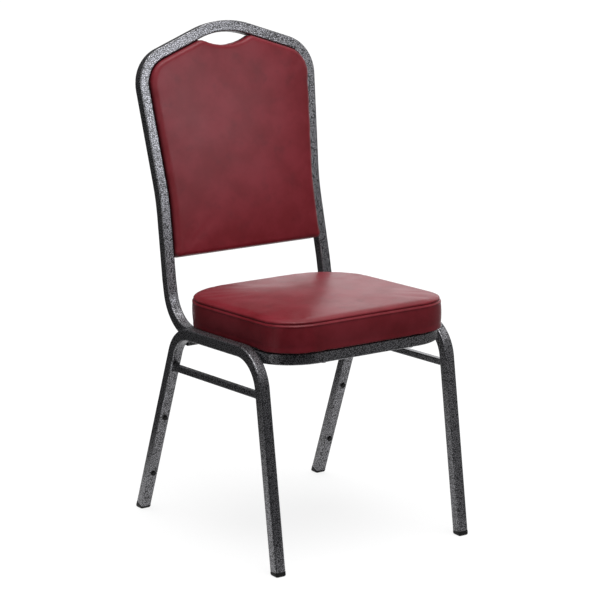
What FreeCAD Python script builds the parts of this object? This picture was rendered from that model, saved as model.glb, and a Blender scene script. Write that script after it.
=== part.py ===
"""Stacking banquet chair: welded square tube frame, padded seat and padded back panel.

Millimetres. +Z up, front towards -Y, origin on the floor at the middle of the chair.
"""
import FreeCAD, Part
import math
import os
import re
import Sketcher

V = FreeCAD.Vector
DOC = FreeCAD.newDocument("banquet_chair")

# Driving sizes, each with its own cell in the sheet
SIZES = (
    ("tube_size", 22.0),
    ("tube_wall", 1.5),
    ("tube_corner", 3.5),
    ("bar_size", 12.7),
    ("bar_wall", 1.2),
    ("bar_corner", 2.0),
    ("leg_spacing", 426.6),
    ("front_foot", 263.5),
    ("rear_foot", 230.5),
    ("front_rake", 8.5),
    ("rear_rake", 20.7),
    ("leg_bend", 70.0),
    ("seat_height", 412.8),
    ("seat_slope", 2.5),
    ("seat_clearance", 0.5),
    ("stretcher_drop", 87.3),
    ("glide_flange", 5.0),
    ("glide_plug", 20.0),
    ("glide_round", 2.0),
    ("glide_clearance", 0.1),
    ("bumper_low", 86.3),
    ("bumper_high", 212.6),
    ("bumper_radius", 5.0),
    ("bumper_head", 3.5),
    ("bumper_stem_radius", 2.5),
    ("bumper_stem", 5.0),
    ("bumper_round", 2.0),
    ("hoop_base_y", 167.9),
    ("hoop_base_rise", 65.1),
    ("hoop_rake", 11.2),
    ("hoop_foot_inset", 30.7),
    ("hoop_foot_bend", 300.0),
    ("waist_inset", 36.5),
    ("waist_height", 157.3),
    ("waist_bend", 560.0),
    ("shoulder_inset", 15.9),
    ("shoulder_height", 424.0),
    ("shoulder_bend", 65.5),
    ("crown_height", 494.7),
    ("crown_bend", 173.0),
    ("rail_bend", 80.0),
    ("rail_front", 243.5),
    ("rail_corner", 79.0),
    ("rail_joint", 110.0),
    ("weld_gap", 0.4),
    ("cross_rail_y", 86.0),
    ("spacer_height", 5.2),
    ("spacer_radius", 9.0),
    ("seat_sink", 3.0),
    ("seat_inset", 3.7),
    ("seat_overhang", 17.3),
    ("seat_rear", 140.5),
    ("seat_front_corner", 74.4),
    ("seat_rear_corner", 119.6),
    ("seat_board", 12.0),
    ("seat_pad", 59.7),
    ("seat_edge", 12.0),
    ("dust_cover", 0.8),
    ("dust_inset", 6.5),
    ("cover_skin", 1.2),
    ("bolt_radius", 3.0),
    ("bolt_clearance", 0.3),
    ("bolt_head_radius", 5.5),
    ("bolt_head", 3.5),
    ("bolt_front_half", 100.0),
    ("bolt_rear_y", 30.0),
    ("tee_barrel_radius", 4.0),
    ("tee_flange_radius", 9.0),
    ("tee_flange", 1.5),
    ("panel_low", 41.5),
    ("panel_gap", 1.0),
    ("panel_rear", 6.0),
    ("panel_board", 10.0),
    ("panel_pad", 13.0),
    ("panel_edge", 5.5),
    ("panel_corner", 7.0),
    ("scoop_half", 59.0),
    ("scoop_drop", 32.7),
    ("scoop_angle", 24.0),
    ("scoop_bend", 120.0),
    ("tab_thick", 3.0),
    ("tab_width", 24.0),
    ("tab_reach", 20.0),
    ("tab_low", 80.0),
    ("tab_high", 360.0),
    ("screw_radius", 2.0),
    ("screw_length", 8.0),
    ("screw_head_radius", 4.0),
    ("screw_head", 2.2),
    ("weld_run", 46.0),
    ("weld_toe", 2.2),
)

SHEET = DOC.addObject("Spreadsheet::Sheet", "Sizes")
for row, (alias, value) in enumerate(SIZES, start=1):
    SHEET.set("A%d" % row, alias)
    SHEET.set("B%d" % row, str(value))
    SHEET.setAlias("B%d" % row, alias)
DOC.recompute()

ALIAS = re.compile(r"\b(%s)\b" % "|".join(alias for alias, value in SIZES))
NODES = []
MOSTLY_ALONG = 0.9  # cosine above which a tube's first run counts as lying across the chair
SAME_DEPTH = 1e-4  # millimetres within which points count as lying in one plane


def size(alias):
    """Read one driving size from the sheet."""
    return float(SHEET.get(alias))


def angle(alias):
    """Read one driving angle from the sheet, in radians."""
    return math.radians(size(alias))


def formula(text):
    """Spell out the sheet's name in front of each alias."""
    return ALIAS.sub(r"Sizes.\1", text)


def bind(item, **formulas):
    """Bind properties of an object to formulas over the sheet; a double underscore stands for a dot."""
    for name, text in formulas.items():
        item.setExpression(name.replace("__", "."), formula(text))


def node(item, label):
    """Name a finished piece and list it for export."""
    item.Label = label
    NODES.append(item)
    return item


def seat_place(item, x, y, z):
    """Place an object in the sloping frame of the seat, whose z is 0 just over the leg frames."""
    item.Placement = FreeCAD.Placement(V(0, 0, 0), FreeCAD.Rotation(V(-1, 0, 0), size("seat_slope")))
    tilt = "seat_slope * 1 deg"
    bind(
        item,
        Placement__Base__x=x,
        Placement__Base__y="(%s) * cos(%s) + (%s) * sin(%s)" % (y, tilt, z, tilt),
        Placement__Base__z="seat_height - (%s) * sin(%s) + (%s) * cos(%s)" % (y, tilt, z, tilt),
        Placement__Rotation__Angle="seat_slope",
    )


def hoop_place(item, x, y, z):
    """Place an object in the raked frame of the back hoop, whose z points to the front."""
    item.Placement = FreeCAD.Placement(V(0, 0, 0), FreeCAD.Rotation(V(1, 0, 0), 90 - size("hoop_rake")))
    tilt = "hoop_rake * 1 deg"
    bind(
        item,
        Placement__Base__x=x,
        Placement__Base__y="hoop_base_y + (%s) * sin(%s) - (%s) * cos(%s)" % (y, tilt, z, tilt),
        Placement__Base__z="seat_height + hoop_base_rise + (%s) * cos(%s) + (%s) * sin(%s)"
        % (y, tilt, z, tilt),
        Placement__Rotation__Angle="90 - hoop_rake",
    )


def seat_point(x, y, z):
    """The same seat frame for points worked out in code."""
    tilt = angle("seat_slope")
    return V(x, y * math.cos(tilt) + z * math.sin(tilt),
             size("seat_height") - y * math.sin(tilt) + z * math.cos(tilt))


def hoop_point(x, y, z=0.0):
    """The same hoop frame for points worked out in code."""
    tilt = angle("hoop_rake")
    return V(x, size("hoop_base_y") + y * math.sin(tilt) - z * math.cos(tilt),
             size("seat_height") + size("hoop_base_rise") + y * math.cos(tilt) + z * math.sin(tilt))


def mirrored(point):
    """The same point on the other side of the chair."""
    return V(-point.x, point.y, point.z)


# Sketches

def sketch_on_floor(body, name, height="0"):
    """A sketch on a body's own XY plane, raised by a formula."""
    sketch = body.newObject("Sketcher::SketchObject", name)
    plane = [item for item in body.Origin.OriginFeatures if item.Role == "XY_Plane"][0]
    sketch.AttachmentSupport = [(plane, "")]
    sketch.MapMode = "FlatFace"
    bind(sketch, AttachmentOffset__Base__z=height)
    return sketch


def rounded_rectangle(sketch, left, right, low, high, low_radius, high_radius):
    """Draw a rectangle with one radius on its low corners and one on its high corners."""
    x0, x1, y0, y1, r0, r1 = (
        float(SHEET.evalExpression(text)) for text in (left, right, low, high, low_radius, high_radius)
    )
    corners = ((x1 - r0, y0 + r0, r0, -90), (x1 - r1, y1 - r1, r1, 0),
               (x0 + r1, y1 - r1, r1, 90), (x0 + r0, y0 + r0, r0, 180))
    arcs = []
    for x, y, radius, start in corners:
        circle = Part.Circle(V(x, y, 0), V(0, 0, 1), radius)
        arcs.append(Part.ArcOfCircle(circle, math.radians(start), math.radians(start + 90)))
    sides = [Part.LineSegment(arcs[i].EndPoint, arcs[(i + 1) % 4].StartPoint) for i in range(4)]
    sketch.addGeometry(arcs + sides, False)
    for i in range(4):
        sketch.addConstraint(Sketcher.Constraint("Tangent", i, 2, i + 4, 1))
        sketch.addConstraint(Sketcher.Constraint("Tangent", i + 4, 2, (i + 1) % 4, 1))
    for i, way in ((4, "Vertical"), (5, "Horizontal"), (6, "Vertical"), (7, "Horizontal")):
        sketch.addConstraint(Sketcher.Constraint(way, i))
    sketch.addConstraint(Sketcher.Constraint("Equal", 0, 3))
    sketch.addConstraint(Sketcher.Constraint("Equal", 1, 2))
    measured = (("Radius", (0,), r0, low_radius), ("Radius", (1,), r1, high_radius),
                ("DistanceX", (-1, 1, 4, 1), x1, right), ("DistanceX", (-1, 1, 6, 1), x0, left),
                ("DistanceY", (-1, 1, 5, 1), y1, high), ("DistanceY", (-1, 1, 7, 1), y0, low))
    for kind, where, value, text in measured:
        index = sketch.addConstraint(Sketcher.Constraint(kind, *where, value))
        sketch.setExpression("Constraints[%d]" % index, formula(text))


def round_hole(sketch, x, y, radius):
    """Draw a circle whose place and radius are formulas."""
    values = [float(SHEET.evalExpression(text)) for text in (x, y, radius)]
    circle = sketch.addGeometry(Part.Circle(V(values[0], values[1], 0), V(0, 0, 1), values[2]), False)
    for kind, where, value, text in (("DistanceX", (-1, 1, circle, 3), values[0], x),
                                     ("DistanceY", (-1, 1, circle, 3), values[1], y),
                                     ("Radius", (circle,), values[2], radius)):
        index = sketch.addConstraint(Sketcher.Constraint(kind, *where, value))
        sketch.setExpression("Constraints[%d]" % index, formula(text))


def pad(body, sketch, length, reversed_way=False):
    """Pad a sketch by a formula."""
    feature = body.newObject("PartDesign::Pad", sketch.Name + "_pad")
    feature.Profile = sketch
    feature.Reversed = reversed_way
    bind(feature, Length=length)
    DOC.recompute()
    return feature


def fillet_face(body, feature, height_sign, radius):
    """Fillet the rim of a pad's highest or lowest face."""
    faces = enumerate(feature.Shape.Faces, start=1)
    index = max(faces, key=lambda pair: height_sign * pair[1].CenterOfMass.z)[0]
    fillet = body.newObject("PartDesign::Fillet", feature.Name + "_fillet")
    fillet.Base = (feature, ["Face%d" % index])
    bind(fillet, Radius=radius)
    DOC.recompute()
    return fillet


# Bent tubes

def rounded_path(corners, radii):
    """A wire of straight runs joined by tangent arcs."""
    edges = []
    last = corners[0]
    for before, corner, after, radius in zip(corners, corners[1:], corners[2:], radii):
        back = (before - corner).normalize()
        ahead = (after - corner).normalize()
        half = back.getAngle(ahead) / 2
        run = radius / math.tan(half)
        bulge = radius / math.sin(half) - radius
        start = corner + back * run
        end = corner + ahead * run
        edges.append(Part.LineSegment(last, start).toShape())
        edges.append(Part.Arc(start, corner + (back + ahead).normalize() * bulge, end).toShape())
        last = end
    edges.append(Part.LineSegment(last, corners[-1]).toShape())
    return Part.Wire(edges)


def swept(name, spine, across, edge, corner):
    """Sweep a rounded square section, given by formulas, along a spine."""
    section = DOC.addObject("Sketcher::SketchObject", name + "_section")
    half = "(%s) / 2" % edge
    rounded_rectangle(section, "-" + half, half, "-" + half, half, corner, corner)
    first = spine.Shape.Edges[0]
    start = first.valueAt(first.FirstParameter)
    along = first.tangentAt(first.FirstParameter)
    turn = FreeCAD.Rotation(across, along.cross(across), along, "ZXY")
    section.Placement = FreeCAD.Placement(start, turn)
    sweep = DOC.addObject("Part::Sweep", name)
    sweep.Sections = [section]
    sweep.Spine = (spine, ["Edge%d" % i for i in range(1, len(spine.Shape.Edges) + 1)])
    sweep.Solid = True
    sweep.Frenet = False
    return sweep


def cut(name, base, tool):
    """Cut one object from another."""
    feature = DOC.addObject("Part::Cut", name)
    feature.Base = base
    feature.Tool = tool
    return feature


def fuse(name, base, tool):
    """Join two objects into one solid."""
    feature = DOC.addObject("Part::Fuse", name)
    feature.Base = base
    feature.Tool = tool
    return feature


def bent_tube(name, corners, radii, edge, wall, corner):
    """A hollow rounded square tube along a bent path; gives the tube and its filled outside."""
    spine = DOC.addObject("Part::Feature", name + "_spine")
    spine.Shape = rounded_path(corners, radii)
    across = V(1, 0, 0)
    if abs((corners[1] - corners[0]).normalize().x) > MOSTLY_ALONG:
        across = V(0, 1, 0)
    outside = swept(name + "_outside", spine, across, edge, corner)
    inside = swept(name + "_inside", spine, across, "%s - 2 * %s" % (edge, wall), "%s - %s" % (corner, wall))
    return cut(name + "_tube", outside, inside), outside


def frame_tube(name, corners, radii):
    """A tube of the main frame size."""
    return bent_tube(name, corners, radii, "tube_size", "tube_wall", "tube_corner")


def bar_tube(name, corners):
    """A straight tube of the thin stretcher size."""
    return bent_tube(name, corners, (), "bar_size", "bar_wall", "bar_corner")


def mirror(name, source):
    """Mirror a finished piece to the other side of the chair."""
    feature = DOC.addObject("Part::Mirroring", name)
    feature.Source = source
    feature.Normal = V(1, 0, 0)
    return feature


def group(label, pieces):
    """Several separate solids that share one node."""
    compound = DOC.addObject("Part::Compound", label)
    compound.Links = pieces
    return node(compound, label)


# Leg frames: front leg, sloping top rail and rear leg in one bent tube

LEG_X = size("leg_spacing") / 2
TUBE = size("tube_size")
LEG_RAIL_DEPTH = size("seat_clearance") + TUBE / 2


def leg_axis_point(z, rear):
    """Where a leg's axis passes a height."""
    if rear:
        return V(-LEG_X, size("rear_foot") - z * math.tan(angle("rear_rake")), z)
    return V(-LEG_X, z * math.tan(angle("front_rake")) - size("front_foot"), z)


def leg_meets(level, rear):
    """Where a leg's axis meets a line with the seat's slope that passes a height at y = 0."""
    foot = leg_axis_point(0, rear)
    lean = leg_axis_point(1, rear).y - foot.y
    slope = math.tan(angle("seat_slope"))
    return leg_axis_point((level - slope * foot.y) / (1 + slope * lean), rear)


LEG_RAIL_LEVEL = size("seat_height") - LEG_RAIL_DEPTH / math.cos(angle("seat_slope"))
TRIM_DEPTH = 2 * TUBE
leg_corners = [leg_axis_point(-TRIM_DEPTH, False), leg_meets(LEG_RAIL_LEVEL, False),
               leg_meets(LEG_RAIL_LEVEL, True), leg_axis_point(-TRIM_DEPTH, True)]
leg_tube, leg_outside = frame_tube("leg", leg_corners, (size("leg_bend"),) * 2)

floor_trim = DOC.addObject("Part::Box", "floor_trim")
bind(floor_trim, Length="4 * tube_size", Width="4 * (front_foot + rear_foot)", Height="4 * tube_size",
     Placement__Base__x="-leg_spacing / 2 - 2 * tube_size",
     Placement__Base__y="-2 * (front_foot + rear_foot)",
     Placement__Base__z="glide_flange - 4 * tube_size")
leg_trimmed = cut("leg_trimmed", leg_tube, floor_trim)


def bumper_place(item, height, forward):
    """Put an object in front of the left rear leg's axis, its z axis pointing out of the front face."""
    item.Placement = FreeCAD.Placement(V(0, 0, 0), FreeCAD.Rotation(V(1, 0, 0), 90 + size("rear_rake")))
    tilt = "rear_rake * 1 deg"
    bind(item, Placement__Base__x="-leg_spacing / 2",
         Placement__Base__y="rear_foot - %s * tan(%s) - %s * cos(%s)" % (height, tilt, forward, tilt),
         Placement__Base__z="%s - %s * sin(%s)" % (height, forward, tilt),
         Placement__Rotation__Angle="90 + rear_rake")


def bumper_hole(base, height):
    """Drill the front wall of the rear leg for a bumper's stem."""
    drill = DOC.addObject("Part::Cylinder", height + "_drill")
    bind(drill, Radius="bumper_stem_radius", Height="tube_size")
    bumper_place(drill, height, "0")
    return cut(height + "_hole", base, drill)


leg_drilled = bumper_hole(bumper_hole(leg_trimmed, "bumper_low"), "bumper_high")
node(leg_drilled, "left_leg_frame")
node(mirror("right_leg_frame", leg_drilled), "right_leg_frame")


# Side stretchers, coped to the legs

STRETCHER_LEVEL = size("seat_height") - size("stretcher_drop")
stretcher_ends = [leg_meets(STRETCHER_LEVEL, rear) for rear in (False, True)]
stretcher_tube, stretcher_outside = bar_tube("stretcher", stretcher_ends)
left_stretcher = node(cut("left_side_stretcher", stretcher_tube, leg_outside), "left_side_stretcher")
node(mirror("right_side_stretcher", left_stretcher), "right_side_stretcher")


# Foot glides: a flange under the tube's end and a plug inside it

def foot_glide(label, front):
    """One glide on the left side, with its sides along the leg."""
    rake = "front_rake * 1 deg" if front else "rear_rake * 1 deg"
    centre = "-front_foot" if front else "rear_foot"
    lean = "tan(%s)" % rake if front else "-tan(%s)" % rake
    body = DOC.addObject("PartDesign::Body", label)
    bind(body, Placement__Base__x="-leg_spacing / 2", Placement__Base__y=centre)
    layers = (("flange", "0", "glide_flange", "tube_size / 2", "tube_corner"),
              ("plug", "glide_flange", "glide_plug", "(tube_size / 2 - tube_wall - glide_clearance)",
               "tube_corner - tube_wall"))
    for name, height, length, half, corner in layers:
        sketch = sketch_on_floor(body, label + "_" + name, height)
        shift = "%s * %s" % (height, lean)
        depth = "%s / cos(%s)" % (half, rake)
        rounded_rectangle(sketch, "-" + half, half, "%s - %s" % (shift, depth), "%s + %s" % (shift, depth),
                          corner, corner)
        feature = pad(body, sketch, length)
        feature.UseCustomVector = True
        feature.AlongSketchNormal = True
        feature.Direction = V(0, 0, 1)
        bind(feature, Direction__y=lean)
        DOC.recompute()
        if name == "flange":
            fillet_face(body, feature, -1, "glide_round")
    return node(body, label)


for place, front in (("front", True), ("rear", False)):
    left = foot_glide("left_%s_glide" % place, front)
    node(mirror("right_%s_glide" % place, left), "right_%s_glide" % place)


# Stacking bumpers on the rear legs

def bumper(label, height):
    """A rubber button with a stem through the tube wall."""
    body = DOC.addObject("PartDesign::Body", label)
    bumper_place(body, height, "tube_size / 2")
    head = sketch_on_floor(body, label + "_head")
    round_hole(head, "0", "0", "bumper_radius")
    fillet_face(body, pad(body, head, "bumper_head"), 1, "bumper_round")
    stem = sketch_on_floor(body, label + "_stem")
    round_hole(stem, "0", "0", "bumper_stem_radius")
    pad(body, stem, "bumper_stem", reversed_way=True)
    return node(body, label)


for place in ("low", "high"):
    left = bumper("left_%s_bumper" % place, "bumper_" + place)
    node(mirror("right_%s_bumper" % place, left), "right_%s_bumper" % place)


# Back hoop, which runs on forward as the seat's side rails, and the front seat rail

HOOP_FOOT = V(LEG_X - size("hoop_foot_inset"), 0, 0)
HOOP_WAIST = V(LEG_X - size("waist_inset"), size("waist_height"), 0)
HOOP_SHOULDER = V(LEG_X - size("shoulder_inset"), size("shoulder_height"), 0)
HOOP_CROWN = V(0, size("crown_height"), 0)
RAIL_DEPTH = size("seat_sink") + size("dust_cover") + size("spacer_height") + TUBE / 2
RAIL_AXIS_FRONT = -size("rail_front")


def hoop_rail_corner():
    """Where the straight foot of the hoop meets the plane of the seat rails."""
    tilt = angle("seat_slope")
    lean = angle("hoop_rake")
    drop = size("hoop_base_rise") + RAIL_DEPTH / math.cos(tilt) + math.tan(tilt) * size("hoop_base_y")
    return -drop / (math.cos(lean) + math.tan(tilt) * math.sin(lean))


hoop_low = hoop_point(HOOP_FOOT.x, hoop_rail_corner())
rail_level_y = (hoop_low.y + RAIL_DEPTH * math.sin(angle("seat_slope"))) / math.cos(angle("seat_slope"))
rail_touch = V(LEG_X - TUBE - size("weld_gap"), RAIL_AXIS_FRONT + size("rail_corner"), 0)
splay = (rail_touch.x - hoop_low.x) / (rail_level_y - rail_touch.y)


def rail_half(y):
    """Half the distance between the side rails' axes, which splay out towards the front."""
    return hoop_low.x + splay * (rail_level_y - y)


def rail_point(y):
    """A point of the right side rail's axis."""
    return seat_point(rail_half(y), y, -RAIL_DEPTH)


JOINT_ROOT = size("weld_gap") / 2
side_run = [rail_point(-size("rail_joint") + JOINT_ROOT), rail_point(rail_level_y)]
side_run += [hoop_point(p.x, p.y) for p in (HOOP_FOOT, HOOP_WAIST, HOOP_SHOULDER)]
hoop_crown = hoop_point(HOOP_CROWN.x, HOOP_CROWN.y)
hoop_corners = side_run + [hoop_crown] + [mirrored(p) for p in reversed(side_run)]
side_bends = [size("rail_bend"), size("hoop_foot_bend"), size("waist_bend"), size("shoulder_bend")]
hoop_bends = side_bends + [size("crown_bend")] + side_bends[::-1]
hoop_tube, hoop_outside = frame_tube("hoop", hoop_corners, hoop_bends)

front_run = [rail_point(-size("rail_joint") - JOINT_ROOT), rail_point(RAIL_AXIS_FRONT)]
front_corners = front_run + [mirrored(p) for p in reversed(front_run)]
front_tube, front_outside = frame_tube("front_rail", front_corners, (size("rail_corner"),) * 2)

rear_bolt_half = rail_half(size("bolt_rear_y"))
BOLT_PLACES = {
    "front_left": ("-bolt_front_half", "-rail_front"),
    "front_right": ("bolt_front_half", "-rail_front"),
    "rear_left": ("%.6f" % -rear_bolt_half, "bolt_rear_y"),
    "rear_right": ("%.6f" % rear_bolt_half, "bolt_rear_y"),
}
BOLT_HOLE = "bolt_radius + bolt_clearance"
BOARD_LOW = "-seat_sink"
BOARD_TOP = "seat_board - seat_sink"
RAIL_TOP = "-(seat_sink + dust_cover + spacer_height)"
RAIL_UNDER = "-(seat_sink + dust_cover + spacer_height + tube_size)"


def seat_cylinder(name, place, radius, low, height):
    """An upright cylinder in the seat's frame at one bolt."""
    item = DOC.addObject("Part::Cylinder", name + "_" + place)
    bind(item, Radius=radius, Height=height)
    seat_place(item, *BOLT_PLACES[place], low)
    return item


def drilled(base, places):
    """Drill a rail for the seat bolts."""
    for place in places:
        drill = seat_cylinder("rail_drill", place, BOLT_HOLE, RAIL_UNDER + " - bolt_head",
                              "tube_size + 2 * bolt_head")
        base = cut("rail_hole_" + place, base, drill)
    return base


node(drilled(hoop_tube, ("rear_left", "rear_right")), "back_hoop")
node(drilled(front_tube, ("front_left", "front_right")), "front_seat_rail")

cross_half = rail_half(size("cross_rail_y")) + TUBE / 2
cross_depth = RAIL_DEPTH + TUBE / 2 + size("bar_size") / 2 + size("weld_gap") / 2
cross_ends = [seat_point(-cross_half, size("cross_rail_y"), -cross_depth),
              seat_point(cross_half, size("cross_rail_y"), -cross_depth)]
node(bar_tube("cross_rail", cross_ends)[0], "rear_cross_rail")


# Weld beads, each a short run of filler cut to the tubes it joins

def bead(name, start, end, radius, tubes):
    """A bead on the left between two points, cut clear of its tubes, and the same on the right."""
    left = DOC.addObject("Part::Cylinder", name)
    bind(left, Radius=radius)
    left.Height = (end - start).Length
    left.Placement = FreeCAD.Placement(start, FreeCAD.Rotation(V(0, 0, 1), end - start))
    for number, tube in enumerate(tubes):
        left = cut("%s_cut_%d" % (name, number), left, tube)
    return [left, mirror(name + "_right", left)]


def rail_bead(name, front, rail):
    """A bead along the slot between a side rail and the leg frame, as wide as the slot and its two toes."""
    leg_face = LEG_X - TUBE / 2
    rear = front + size("weld_run")
    slot = leg_face - rail_half(rear) - TUBE / 2
    ends = []
    for y in (front, rear):
        middle = (leg_face + rail_half(y) + TUBE / 2) / 2
        ends.append(seat_point(-middle, y, TUBE / 2 - RAIL_DEPTH))
    return bead(name, ends[0], ends[1], "%.6f + weld_toe" % (slot / 2), [leg_outside, rail])


def stretcher_beads(rear):
    """Beads over and under a stretcher's end, where its faces meet the leg's face."""
    place = "rear" if rear else "front"
    leg_way = (leg_axis_point(1, rear) - leg_axis_point(0, rear)).normalize()
    way = (stretcher_ends[0] - stretcher_ends[1]).normalize()
    if not rear:
        way = way * -1
    out_of_leg = (way - leg_way * way.dot(leg_way)).normalize()
    across = V(size("bar_size") / 2, 0, 0)
    upward = (leg_way - way * leg_way.dot(way)).normalize() * (size("bar_size") / 2)
    beads = []
    for side, offset in (("over", upward), ("under", upward * -1)):
        run = (TUBE / 2 - offset.dot(out_of_leg)) / way.dot(out_of_leg)
        corner = stretcher_ends[int(rear)] + offset + way * run
        beads += bead("%s_%s_bead" % (place, side), corner - across, corner + across, "weld_toe",
                      [leg_outside, stretcher_outside])
    return beads


beads = rail_bead("front_bead", RAIL_AXIS_FRONT + size("rail_corner"), front_outside)
rear_bead_end = size("bolt_rear_y") - size("spacer_radius") - size("weld_toe")
beads += rail_bead("rear_bead", rear_bead_end - size("weld_run"), hoop_outside)
beads += stretcher_beads(False) + stretcher_beads(True)
group("frame_welds", beads)


# Seat: board, foam, cover and the fixings that hold it to the rails

def seat_outline(sketch, inset):
    """The cushion's outline, which lies between the leg frames, set in by a formula."""
    half = "(leg_spacing / 2 - tube_size / 2 - seat_inset - %s)" % inset
    rounded_rectangle(sketch, "-" + half, half,
                      "-(rail_front + seat_overhang - %s)" % inset, "seat_rear - %s" % inset,
                      "seat_front_corner - %s" % inset, "seat_rear_corner - %s" % inset)


def seat_layer(label, inset, low, height, edge=None, hole=None):
    """A layer of the seat over the board's underside, with an optional rounded top edge and bolt holes."""
    body = DOC.addObject("PartDesign::Body", label)
    seat_place(body, "0", "0", BOARD_LOW)
    sketch = sketch_on_floor(body, label + "_outline", low)
    seat_outline(sketch, inset)
    if hole:
        for place in BOLT_PLACES.values():
            round_hole(sketch, *place, hole)
    feature = pad(body, sketch, height)
    if edge:
        fillet_face(body, feature, 1, edge)
    return body


dust_cover = seat_layer("dust_cover_layer", "dust_inset", "-dust_cover", "dust_cover", hole=BOLT_HOLE)
node(dust_cover, "seat_dust_cover")
seat_board = seat_layer("board_layer", "cover_skin", "0", "seat_board", hole="tee_barrel_radius")
node(seat_board, "seat_board")
seat_foam = seat_layer("foam_layer", "cover_skin", "seat_board", "seat_pad - seat_board - cover_skin",
                       edge="seat_edge - cover_skin")
seat_core = seat_layer("seat_core", "cover_skin", "0", "seat_pad - cover_skin", edge="seat_edge - cover_skin")
seat_outer = seat_layer("seat_outer", "0", "0", "seat_pad", edge="seat_edge")
node(cut("seat_cover", seat_outer, seat_core), "seat_cover")

bolts = []
nuts = []
spacers = []
for place in BOLT_PLACES:
    shank = seat_cylinder("bolt_shank", place, "bolt_radius", RAIL_UNDER,
                          "tube_size + spacer_height + dust_cover + seat_board")
    head = seat_cylinder("bolt_head", place, "bolt_head_radius", RAIL_UNDER + " - bolt_head", "bolt_head")
    bolts.append(fuse("bolt_" + place, shank, head))
    barrel = seat_cylinder("nut_barrel", place, "tee_barrel_radius", BOARD_LOW, "seat_board")
    flange = seat_cylinder("nut_flange", place, "tee_flange_radius", BOARD_TOP, "tee_flange")
    thread = seat_cylinder("nut_thread", place, "bolt_radius", BOARD_LOW, "seat_board + tee_flange")
    nuts.append(cut("nut_" + place, fuse("nut_body_" + place, barrel, flange), thread))
    pocket = seat_cylinder("foam_pocket", place, "tee_flange_radius", BOARD_TOP, "tee_flange")
    seat_foam = cut("foam_at_" + place, seat_foam, pocket)
    block = seat_cylinder("spacer_block", place, "spacer_radius", RAIL_TOP, "spacer_height")
    bore = seat_cylinder("spacer_bore", place, BOLT_HOLE, RAIL_TOP, "spacer_height")
    spacers.append(cut("spacer_" + place, block, bore))
node(seat_foam, "seat_foam")
group("seat_bolts", bolts)
group("seat_tee_nuts", nuts)
group("seat_spacers", spacers)


# Back panel: an outline that follows the inside of the hoop, with a scooped top

def meet(line, other):
    """Where two lines in the hoop's plane cross; each is a point and a direction."""
    start, way = line
    target, other_way = other
    gap = target - start
    along = (gap.x * other_way.y - gap.y * other_way.x) / (way.x * other_way.y - way.y * other_way.x)
    return start + way * along


def offset_line(start, end, distance):
    """The line from start to end, moved to its left by a distance."""
    way = (end - start).normalize()
    return start + V(-way.y, way.x, 0) * distance, way


def panel_outline(inset):
    """A closed wire in the hoop's plane, inside the tube by the panel's gap and an inset."""
    clear = TUBE / 2 + size("panel_gap") + inset
    scoop_end = HOOP_CROWN + V(size("scoop_half"), -size("scoop_drop"), 0)
    scoop_way = V(-math.cos(angle("scoop_angle")), -math.sin(angle("scoop_angle")), 0)
    bottom = (V(0, size("panel_low") + inset, 0), V(1, 0, 0))
    lower = offset_line(HOOP_FOOT, HOOP_WAIST, clear)
    upper = offset_line(HOOP_WAIST, HOOP_SHOULDER, clear)
    slope = offset_line(HOOP_SHOULDER, HOOP_CROWN, clear)
    scoop = offset_line(scoop_end, scoop_end + scoop_way, inset)
    middle = (V(0, 0, 0), V(0, 1, 0))
    right = [meet(bottom, lower), meet(lower, upper), meet(upper, slope), meet(slope, scoop)]
    corner = size("panel_corner")
    radii = [corner, size("waist_bend") + clear, size("shoulder_bend") - clear, corner]
    points = right + [meet(scoop, middle)] + [mirrored(p) for p in reversed(right)]
    radii = radii + [size("scoop_bend") + inset] + radii[::-1]
    bottom_middle = (points[-1] + points[0]) / 2
    return rounded_path([bottom_middle] + points + [bottom_middle], radii)


def panel_layer(name, inset, low, height):
    """Extrude the panel's outline between two depths."""
    outline = DOC.addObject("Part::Feature", name + "_outline")
    outline.Shape = Part.Face(panel_outline(inset))
    hoop_place(outline, "0", "0", low)
    layer = DOC.addObject("Part::Extrusion", name)
    layer.Base = outline
    layer.DirMode = "Normal"
    layer.Solid = True
    bind(layer, LengthFwd=height)
    DOC.recompute()
    return layer


def rounded_front(name, layer, radius):
    """Round the front rim of a panel layer."""
    normal = hoop_point(0, 0, 1) - hoop_point(0, 0, 0)
    depth = max(vertex.Point.dot(normal) for vertex in layer.Shape.Vertexes)
    rim = [index for index, edge in enumerate(layer.Shape.Edges, start=1)
           if all(abs(vertex.Point.dot(normal) - depth) < SAME_DEPTH for vertex in edge.Vertexes)]
    fillet = DOC.addObject("Part::Fillet", name)
    fillet.Base = layer
    fillet.Edges = [(index, radius, radius) for index in rim]
    DOC.recompute()
    return fillet


SKIN = size("cover_skin")
BOARD_REAR = "-panel_rear + cover_skin"
BOARD_FRONT = "-panel_rear + cover_skin + panel_board"
rear_skin = panel_layer("back_rear_blank", 0.0, "-panel_rear", "cover_skin")
back_board = panel_layer("back_board_blank", SKIN, BOARD_REAR, "panel_board")
foam_block = panel_layer("back_foam_block", SKIN, BOARD_FRONT, "panel_pad")
node(rounded_front("back_foam", foam_block, size("panel_edge") - SKIN), "back_foam")
core_block = panel_layer("back_core_block", SKIN, BOARD_REAR, "panel_board + panel_pad")
back_core = rounded_front("back_core", core_block, size("panel_edge") - SKIN)
outer_block = panel_layer("back_outer_block", 0.0, BOARD_REAR, "panel_board + panel_pad + cover_skin")
back_outer = rounded_front("back_outer", outer_block, size("panel_edge"))
node(cut("back_cover", back_outer, back_core), "back_cover")


# Tabs welded inside the hoop and the screws through them into the back board

def hoop_cylinder(name, x, y, radius, low, height):
    """A cylinder square to the hoop's plane."""
    item = DOC.addObject("Part::Cylinder", name)
    bind(item, Radius=radius, Height=height)
    hoop_place(item, "%.6f" % x, y, low)
    return item


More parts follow.
